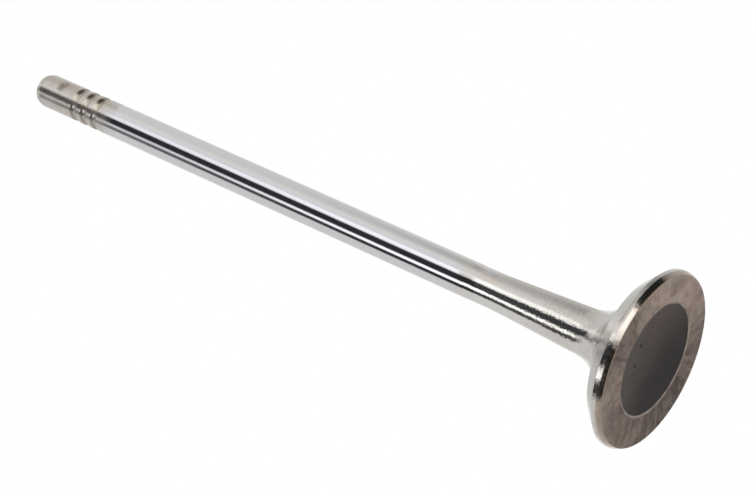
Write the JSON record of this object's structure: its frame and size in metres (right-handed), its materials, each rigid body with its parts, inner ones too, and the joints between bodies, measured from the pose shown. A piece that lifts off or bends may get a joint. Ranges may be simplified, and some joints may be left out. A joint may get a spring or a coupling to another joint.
{
  "type": "engine valve",
  "caption": "Poppet valve with a dished mushroom head, a conical seat and a long slender stem with half-round keeper grooves near the tip.",
  "frame": {"origin": "centre of the flat combustion face, on the valve's axis", "axes": "+Z along the stem, from the head towards the tip; the valve stands on its head"},
  "size_m": [0.0426, 0.0426, 0.196],
  "materials": {
    "valve_steel": "ground and plated stem, satin neck and underhead, polished rim, heat-tinted head ring and dark scaled dish"
  },
  "bodies": {
    "root": {"valve": "valve_steel"}
  },
  "joints": []
}
